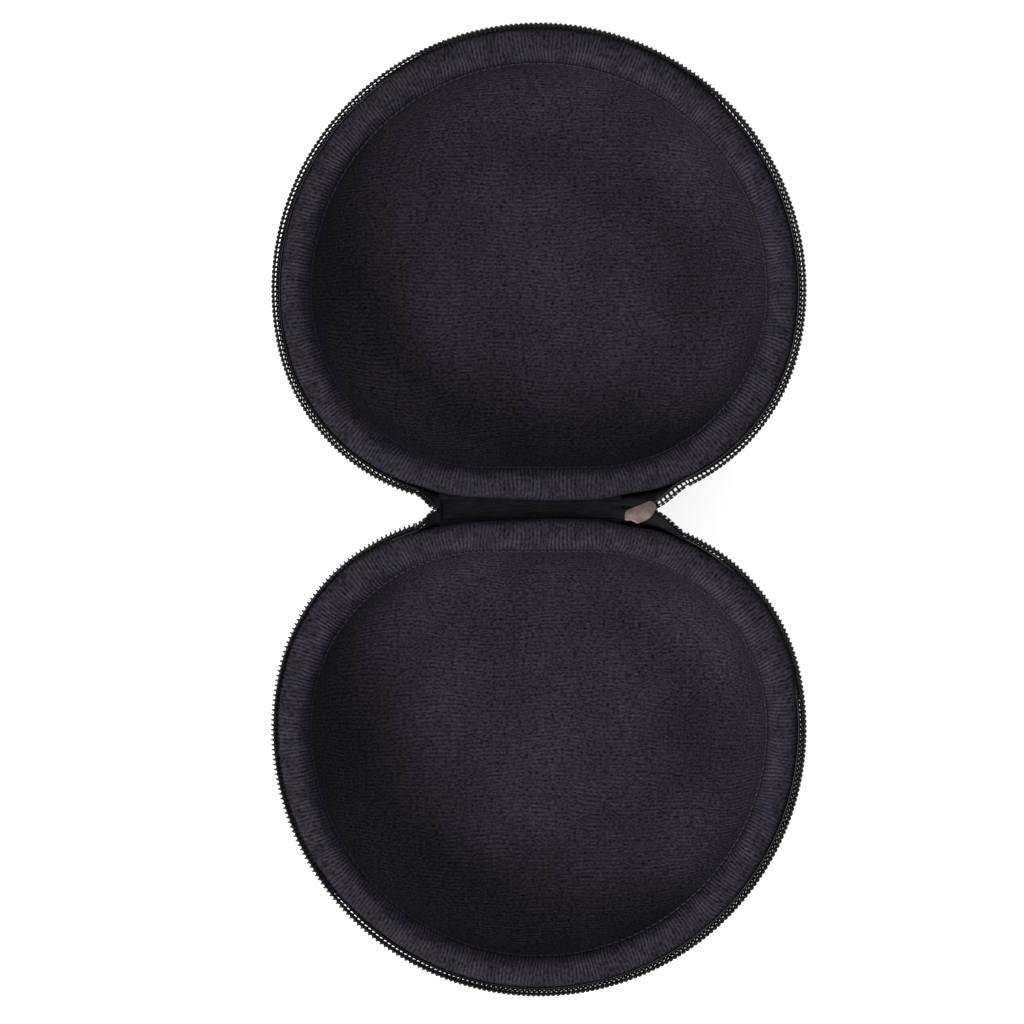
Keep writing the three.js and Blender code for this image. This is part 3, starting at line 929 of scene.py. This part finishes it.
def coil_stitches(half, part, first, last):
    """Two rows of thread under the cord, which sew the coil's legs to the tape."""
    bundle = Bundle()
    shift = 0.5 if half == "lid" else 0.0
    runs = zipper_run(first, last, COIL_PITCH / 6)
    core, inward, down, _ = zip_at(half, runs)
    beat = (1 - np.cos(2 * math.pi * ((runs - first) / COIL_PITCH - shift))) / 2
    for depth in STITCH_ROWS:
        path = core + (INNER_LEG + 0.15 * beat)[:, None] * inward + depth * down
        bundle.add(sweep(path, *frames_along(path, inward), 0.1, 0.12, 5))
    return bundle.piece(half + "_coil_stitches_" + part, half, DARK_THREAD)


def tape_table(half):
    """The tape's middle surface at each of RUNS, from its upper edge behind the coil straight down,
    and then by a curve with four control points round the roll to the shell's wall."""
    core, inward, down, _ = ZIP_FRAMES[half]
    back = INNER_LEG + WIRE + TAPE_THICKNESS / 2 - 0.02
    right_cover, left_cover = TAIL_COVER[half]
    cover = right_cover * smooth(START - RUNS, -16, 2) + left_cover * smooth(RUNS - END, -12, 0)
    wall_runs = np.unwrap(SHELL_LINE.nearest(core), period=SHELL_LINE.length)
    wall_runs = np.convolve(np.pad(wall_runs, 12, mode="edge"), np.ones(25) / 25, "valid")
    place, out = SHELL_LINE.at(wall_runs)
    press, bulge = press_at(half, wall_runs)

    def beside(reach, drop):
        return at_drop(place + reach[:, None] * out, drop)

    top = core + back * inward + (0.05 - cover)[:, None] * down
    bottom = core + back * inward + TAPE_STRAIGHT * down
    low, lower = (beside(press + bulge + beyond, drop) for beyond, drop in TAPE_CURVE)
    wall = beside(np.full(len(RUNS), TAPE_GAP), TAPE_DROP)
    rows = [top, (top + bottom) / 2]
    for s in np.linspace(0, 1, 11):
        rows.append((1 - s) ** 3 * bottom + 3 * s * (1 - s) ** 2 * low
                    + 3 * s ** 2 * (1 - s) * lower + s ** 3 * wall)
    return np.stack(rows, 1)


TAPES = {half: tape_table(half) for half in HALVES}


def tape_piece(half, part, first, last):
    runs = zipper_run(first, last, 1.2)
    middle = from_table(TAPES[half], runs)
    return slab(half + "_zipper_tape_" + part, half, middle, TAPE_THICKNESS,
                sheet_cloth(runs, middle), TAPE)


def tape_edge(half, part, first, last):
    """A fine pale yarn along the tape's inner face, near its upper edge."""
    runs = zipper_run(first, last, 0.75)
    inward, down = zip_at(half, runs)[1:3]
    path = from_table(TAPES[half], runs)[:, 0] + 0.22 * inward + 0.45 * down
    yarn = sweep(path, *frames_along(path, UP[None]), 0.12, 0.13)
    return Bundle(yarn).piece(half + "_tape_edge_" + part, half, LIGHT_THREAD)


def tape_seam(half):
    """Long stitches through the tape near its lower edge, on its outer face."""
    bundle = Bundle()
    count = int((END - START) / SEAM_PITCH)
    for k in range(count):
        middle_run = START + (k + 0.5) * SEAM_PITCH
        share = np.linspace(-1, 1, 9)
        rows = from_table(TAPES[half], middle_run + SEAM_STITCH * share)
        low = rows[:, 10]
        facing = unit(np.cross(np.gradient(low, axis=0), rows[:, 11] - rows[:, 9]))
        if facing[4] @ np.append(low[4, :2] - SHELL_LINE.middle, 0) < 0:
            facing = -facing
        low = low + facing * (0.26 - 0.16 * share ** 4)[:, None]
        bundle.add(rod(low, 0.17, facing))
    return bundle.piece(half + "_tape_stitches", half, DARK_THREAD)


def zipper(half):
    """Each run along the rim rides on its half, and each tail is baked in place on no body."""
    parts = (
        ("rim", START, END, None),
        ("right_tail", START - RIGHT_TAIL, START, RIGHT_TAIL_BEND),
        ("left_tail", END, END + LEFT_TAIL, LEFT_TAIL_BEND))
    for part, first, last, ways in parts:
        coil = coil_piece(half, part, first, last)
        stitches = coil_stitches(half, part, first, last)
        web = WEB if part == "right_tail" else 0
        tape = tape_piece(half, part, first - web, last)
        pieces = [(coil, "nylon_coil"), (stitches, "thread"), (tape, "woven_tape")]
        if part == "rim" or (half, part) == ("lid", "right_tail"):
            pieces.append((tape_edge(half, part, first, last), "thread"))
        if ways is None:
            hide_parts(half + "_zipper_coil")
            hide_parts(half + "_zipper_tape")
        for piece, slot in pieces:
            if ways is None:
                settle(piece, half)
            else:
                bend(piece)
    settle(tape_seam(half), half, half + "_tape_seam")


# ---- Hinge ----

def strip_sag(x, y):
    """How far the strips hang below the fold line."""
    lengthwise = 1 - smooth(x, STRIP_HIGH.x - 14, STRIP_HIGH.x)
    wrinkle = 0.12 * np.sin(x / 3.1 + 2 * np.sin(x / 7.7)) + 0.1 * np.sin(x / 1.7)
    return STRIP_SAG * np.clip(1 - (y / FOLD_Y) ** 4, 0, 1) * lengthwise * 0.9 - wrinkle * (y < 3)


def strip_sheet(name, level, thickness, left, right):
    """A strip's middle part at this level under the fold line."""
    x = np.linspace(left, right, STRIP_STEPS)
    x_grid, y_grid = np.meshgrid(x, np.linspace(-STRIP_HALF, STRIP_HALF, 15), indexing="ij")
    z = FOLD_Z - level - thickness / 2 - strip_sag(x_grid, np.abs(y_grid))
    middle = np.stack([x_grid, y_grid, z], 2)
    return slab(name, "lid", middle, thickness, middle[..., :2], HINGE_CLOTH)


def strip_margin(half, layer, level, thickness, left, right, wall_bottom):
    """The strip's margin, from under its middle part out to the shell's wall and down it."""
    x = np.linspace(left, right, STRIP_STEPS)
    wall_y = np.interp(x, *corner_profile()) - 0.08 - thickness / 2 - level * 0.65
    corner = 0.7
    top = FOLD_Z - level - thickness / 2
    rows = []
    for share in np.linspace(0, 1, 6)[:-1]:
        y = MARGIN_START + (wall_y - corner - MARGIN_START) * share
        rows.append(np.column_stack([x, y, top - strip_sag(x, y) - 0.25 * (y < 3)]))
    for angle in np.linspace(0, math.pi / 2, 6):
        y = wall_y - corner + corner * math.sin(angle)
        z = top - strip_sag(x, y) * (1 - math.sin(angle)) - corner * (1 - math.cos(angle))
        rows.append(np.column_stack([x, y, z]))
    for z in np.linspace(top - corner, wall_bottom, 7)[1:]:
        lift = math.sqrt(max(0, 1 - max(0, (RIM - z - COVER_TOP) / (RIM - COVER_TOP)) ** 2))
        y = wall_y + DISH_INSET * (1 - lift)
        rows.append(np.column_stack([x, y, np.full(STRIP_STEPS, z)]))
    middle = np.stack(rows, 1)
    piece = slab(half + "_hinge_" + layer + "_margin", half, middle, thickness,
                 sheet_cloth(x, middle), HINGE_CLOTH)
    bend(piece)


def corner_profile():
    """The shell's wall beside the hinge: x, and y at each x."""
    x = np.linspace(-40, 40, 161)
    past = np.clip(np.abs(x) - SHELL_LINE.corner_x, 0, None)
    rise = SHELL_LINE.corner_radius - np.sqrt(SHELL_LINE.corner_radius ** 2 - past ** 2)
    return x, SHELL_LINE.hinge_y + rise


def strip_seam():
    """A seam of short stitches across the strip, near its left end."""
    bundle = Bundle()
    first_y, pitch, half_length = -1.95, 1.3, 0.5
    for k in range(4):
        y = first_y + pitch * k + np.linspace(-half_length, half_length, 7)
        x = np.full(7, STRIP_SEAM_X)
        z = FOLD_Z - strip_sag(x, np.abs(y)) + 0.08
        bundle.add(rod(np.column_stack([x, y, z]), 0.13, UP[None]))
    settle(bundle.piece("hinge_cross_stitches", "lid", DARK_THREAD), "spine")


def hinge():
    """Each layer has a level, a thickness, its margins' thickness, its left and right end, and
    the height that its margins reach down to."""
    layers = (
        ("inner", 0.0, 0.7, 0.6, STRIP_LOW.x + 1, STRIP_HIGH.x + 1.6, 24),
        ("outer", 1.0, 0.9, 0.45, STRIP_LOW.x, STRIP_HIGH.x, 21))
    for layer, level, thickness, margin_thickness, left, right, wall_bottom in layers:
        middle = strip_sheet("hinge_" + layer + "_cloth", level, thickness, left, right)
        settle(middle, "spine", "hinge_" + layer + "_strip")
        for half in HALVES:
            strip_margin(half, layer, level, margin_thickness, left, right, wall_bottom)
    strip_seam()


def chain_point(x, y, depth):
    """A point on the closed chain at this x: depth is measured from its middle, outwards."""
    radius = CHAIN_RADIUS + depth
    angle = np.arcsin((x - CHAIN_X) / CHAIN_RADIUS)
    return np.stack([
        CHAIN_X + radius * np.sin(angle), np.broadcast_to(y, np.shape(x)),
        CHAIN_Z - radius * np.cos(angle)], -1)


def chain_end():
    """The last meshed turns of the two coils, with their cords."""
    bundle = Bundle()
    left, right = CHAIN_LOW.x - 1, CHAIN_HIGH.x
    turns = int((right - left) / COIL_PITCH)
    coil_y, half_height, flatness, head_share, cord_y = 0.95, 1.2, 0.7, 0.6, 1.15
    for side in (-1, 1):
        turn, across, down_share, head = coil_loop(turns)
        x = left + (turn + (0.5 if side > 0 else 0.0)) * COIL_PITCH
        path = chain_point(x, side * (coil_y + down_share * half_height), across * flatness)
        bundle.add(wire(path, np.tile([[1.0, 0, 0]], (len(x), 1)), head * head_share))
        x = np.linspace(left, right, 9)
        core = chain_point(x, side * cord_y, 0.0)
        bundle.add(sweep(core, *frames_along(core, np.array([[0, 1.0, 0]])), 0.33, 0.27))
    settle(bundle.piece("zipper_meshed_end", "lid", NYLON), "spine",
           "zipper_chain_end")


# ---- Slider and pull ----

SLIDER_RADIUS = 60.05  # at the slider's middle, from the centre of the chain's corner arc
PIVOT_RADIUS = 62.9
SLIDER_X = (PIVOT.x - CHAIN_X) * SLIDER_RADIUS / PIVOT_RADIUS + CHAIN_X
TILT = math.asin((SLIDER_X - CHAIN_X) / SLIDER_RADIUS)


def in_chain_frame(points):
    """Points with x along the chain from the slider's middle, y across, and z from the centre of
    the chain's corner arc, negative towards the chain."""
    points = np.asarray(points, float)
    x, y, z = points[:, 0], points[:, 1], points[:, 2]
    return np.column_stack([
        CHAIN_X + x * math.cos(TILT) - z * math.sin(TILT), y,
        CHAIN_Z + z * math.cos(TILT) + x * math.sin(TILT)])


def rounded_plate(outlines, thickness, bevel):
    """Points and faces of a flat plate with rounded edges, from closed outlines of (x, y). The
    first is its edge and the others are holes. It lies from z = 0 to z = thickness."""
    curve = bpy.data.curves.new("plate", "CURVE")
    curve.dimensions = "2D"
    curve.fill_mode = "BOTH"
    curve.extrude = thickness / 2 - bevel
    curve.bevel_depth = bevel
    curve.bevel_resolution = 3
    curve.offset = -bevel
    for outline in outlines:
        spline = curve.splines.new("POLY")
        spline.points.add(len(outline) - 1)
        for point, (x, y) in zip(spline.points, outline):
            point.co = (x, y, 0, 1)
        spline.use_cyclic_u = True
    holder = linked("plate", curve)
    bpy.context.view_layer.update()
    mesh = bpy.data.meshes.new_from_object(holder)
    work = bmesh.new()
    work.from_mesh(mesh)
    bmesh.ops.remove_doubles(work, verts=work.verts, dist=1e-4)
    points = np.array([vertex.co for vertex in work.verts])
    work.verts.index_update()
    faces = [[vertex.index for vertex in face.verts] for face in work.faces]
    work.free()
    bpy.data.objects.remove(holder)
    bpy.data.curves.remove(curve)
    bpy.data.meshes.remove(mesh)
    points[:, 2] += thickness / 2
    return points, faces


def closed_curve(corners, steps=6):
    """A smooth closed line through these corners."""
    corners = np.asarray(corners, float)
    line = []
    count = len(corners)
    for k in range(count):
        p0, p1, p2, p3 = (corners[(k + j) % count] for j in (-1, 0, 1, 2))
        for s in np.arange(steps) / steps:
            line.append(0.5 * (2 * p1 + (p2 - p0) * s + (2 * p0 - 5 * p1 + 4 * p2 - p3) * s ** 2
                               + (3 * p1 - p0 - 3 * p2 + p3) * s ** 3))
    return line


def add_plate(bundle, placed, low, outlines, thickness, bevel):
    """Adds a rounded plate whose lower face is at this height, put in place by a function."""
    points, faces = rounded_plate(outlines, thickness, bevel)
    points[:, 2] += low
    bundle.add_solid(placed(points), faces)


INNER_FACE = -57.95  # of the slider's channel, in the chain frame
OUTER_FACE = -60.45
INNER_PLATE = 0.7
OUTER_PLATE = 1.0
SUNK = 0.4  # how deep the flanges and the post stand in the outer plate


def slider():
    """Inner plate, outer plate with its flanges, and the post between them."""
    solids = Bundle()
    spade = [
        (-4.2, -1.1), (-3.9, -0.35), (-3.2, 0.1), (-0.2, 1.3), (2.8, 2.5), (3.7, 2.6), (4.6, 2.2),
        (5.25, 1.3), (5.3, 0.5), (4.95, -0.5), (4.2, -1.8), (3.2, -2.8), (1.7, -3.6), (0.2, -4.15),
        (-0.6, -4.15), (-1.5, -3.7), (-2.4, -3.35), (-3.5, -3.45), (-4.2, -3.2), (-4.35, -2.3)]
    add_plate(solids, in_chain_frame, INNER_FACE, [closed_curve(spade, 3)], INNER_PLATE, 0.28)
    shield = [
        (-5.1, 3.0), (-3.0, 3.45), (0.0, 3.5), (2.4, 3.9), (4.2, 3.2), (5.1, 1.2), (5.1, -1.2),
        (4.2, -3.2), (2.4, -3.9), (0.0, -3.5), (-3.0, -3.45), (-5.1, -3.0), (-5.15, 0)]
    add_plate(solids, in_chain_frame, OUTER_FACE - OUTER_PLATE, [closed_curve(shield)],
              OUTER_PLATE, 0.32)
    for side in (-1, 1):
        rail = [(-4.9, 3.02 * side), (-2.5, 3.02 * side), (0.0, 3.1 * side),
                (0.0, 3.55 * side), (-2.5, 3.5 * side), (-4.9, 3.3 * side)]
        add_plate(solids, in_chain_frame, OUTER_FACE - SUNK, [rail[::side]], 2.0, 0.12)
    wedge = closed_curve([(2.2, 0.0), (2.9, 0.75), (4.2, 0.75), (4.2, -0.75), (2.9, -0.75)], 4)
    add_plate(solids, in_chain_frame, OUTER_FACE - SUNK, [wedge],
              INNER_FACE - OUTER_FACE + 2 * SUNK, 0.1)
    settle(solids.piece("zipper_slider", "lid", GUNMETAL), "slider", "slider_body")


def bail():
    """A flat wire arch on the outer plate."""
    foot = OUTER_FACE - OUTER_PLATE + 0.15
    turn = np.linspace(0, math.pi / 2, 7)
    half_length, radius, half_width, half_thickness = 3.4, 1.3, 1.05, 0.55
    x = -half_length + np.concatenate([[0, 0], radius * (1 - np.cos(turn))])
    z = np.concatenate([[foot, foot - 1.0], foot - 1.55 - radius * np.sin(turn)])
    x = np.concatenate([x, -x[::-1]])
    z = np.concatenate([z, z[::-1]])
    path = in_chain_frame(np.column_stack([x, np.zeros(len(x)), z]))
    side, rise = frames_along(path, np.array([[0, 1.0, 0]]))
    corner = np.linspace(0, 2 * math.pi, 16, endpoint=False)
    wide = half_width * squared_off(np.cos(corner), 0.5)
    thick = half_thickness * squared_off(np.sin(corner), 0.5)
    bundle = Bundle(path[:, None] + side[:, None] * wide[None, :, None]
                    + rise[:, None] * thick[None, :, None])
    settle(bundle.piece("zipper_bail", "lid", GUNMETAL), "slider", "slider_bail")


def pull_tab():
    """A flat tab with a window for the bail, a rounded end, and grip ridges across it."""
    length, half_width, thickness = 21.5, 2.8, 1.2
    turn = np.linspace(0, math.pi, 19)
    edge = [(-half_width, 0.55), (-half_width, half_width - length)]
    edge += [(-half_width * math.cos(angle), half_width - length - half_width * math.sin(angle))
             for angle in turn[1:]]
    edge += [(half_width, 0.55)]
    window = [(-1.6, -0.65), (-1.6, -5.2), (1.6, -5.2), (1.6, -0.65)]
    solids = Bundle()

    def hang(points):
        """From the tab's own plane to the hanging tab: x is across, y runs up, z is thickness."""
        return np.column_stack([
            PIVOT.x + points[:, 2], PIVOT.y + points[:, 0], PIVOT.z + points[:, 1]])

    add_plate(solids, hang, -thickness / 2, [edge, window], thickness, 0.35)
    first_y, pitch = -12.5, 1.3
    for low in (-0.8, 0.3):
        for k in range(5):
            y = first_y - pitch * k
            ridge = [(-1.9, y - 0.3), (1.9, y - 0.3), (1.9, y + 0.3), (-1.9, y + 0.3)]
            add_plate(solids, hang, low, [ridge], 0.5, 0.14)
    settle(solids.piece("zipper_pull", "lid", GUNMETAL), "pull", "pull_tab")


# ---- Setting ----

def floor():
    s = Surface("pale_floor", Roughness=0.9, Emission_Color=(1, 1, 1, 1), Emission_Strength=0.75)
    size = 30.0
    mesh = bpy.data.meshes.new("floor")
    corners = [(-size, -size), (size, -size), (size, size), (-size, size)]
    mesh.from_pydata([(x, y, -0.0001) for x, y in corners], [], [(0, 1, 2, 3)])
    grain = s.noise(s.place(), 0.05, 2.0)
    mesh.materials.append(s.finish(s.mix(grain, (0.80, 0.80, 0.80), (0.83, 0.83, 0.83))))
    linked("floor", mesh)


def area_light(name, place, size, power):
    """A round light aimed at the middle of the case."""
    light = bpy.data.lights.new(name, "AREA")
    light.shape = "DISK"
    light.size = size
    light.energy = power
    lamp = linked(name, light)
    lamp.location = place
    aim = Vector((0, 0, 0.02))
    lamp.rotation_euler = (aim - Vector(place)).to_track_quat("-Z", "Y").to_euler()


def camera():
    """Straight above the open case, with the lid at the top of the picture."""
    data = bpy.data.cameras.new("camera")
    distance = 0.9
    width = 0.3075
    data.lens = data.sensor_width * distance / width
    data.clip_end = 100
    view = linked("camera", data)
    # The photo's middle is a little left of the case's, and a little nearer the base.
    view.location = (-0.0081, -0.00075, RIM * MM + distance)
    bpy.context.scene.camera = view


def setting():
    floor()
    area_light("key", (-0.85, -0.8, 0.95), size=0.8, power=21)
    area_light("fill", (0.7, 0.7, 1.5), size=1.4, power=5)
    world = bpy.data.worlds.new("studio")
    world.use_nodes = True
    sky = world.node_tree.nodes["Background"].inputs
    sky["Color"].default_value = (1, 1, 1, 1)
    sky["Strength"].default_value = 0.38
    bpy.context.scene.world = world
    bpy.context.scene.view_settings.view_transform = "Standard"


camera()
for half_name in HALVES:
    outer_cover(half_name)
    foam_shell(half_name)
    lining(half_name)
    rim_binding(half_name)
    binding_seam(half_name)
    zipper(half_name)
hinge()
chain_end()
slider()
bail()
pull_tab()
setting()
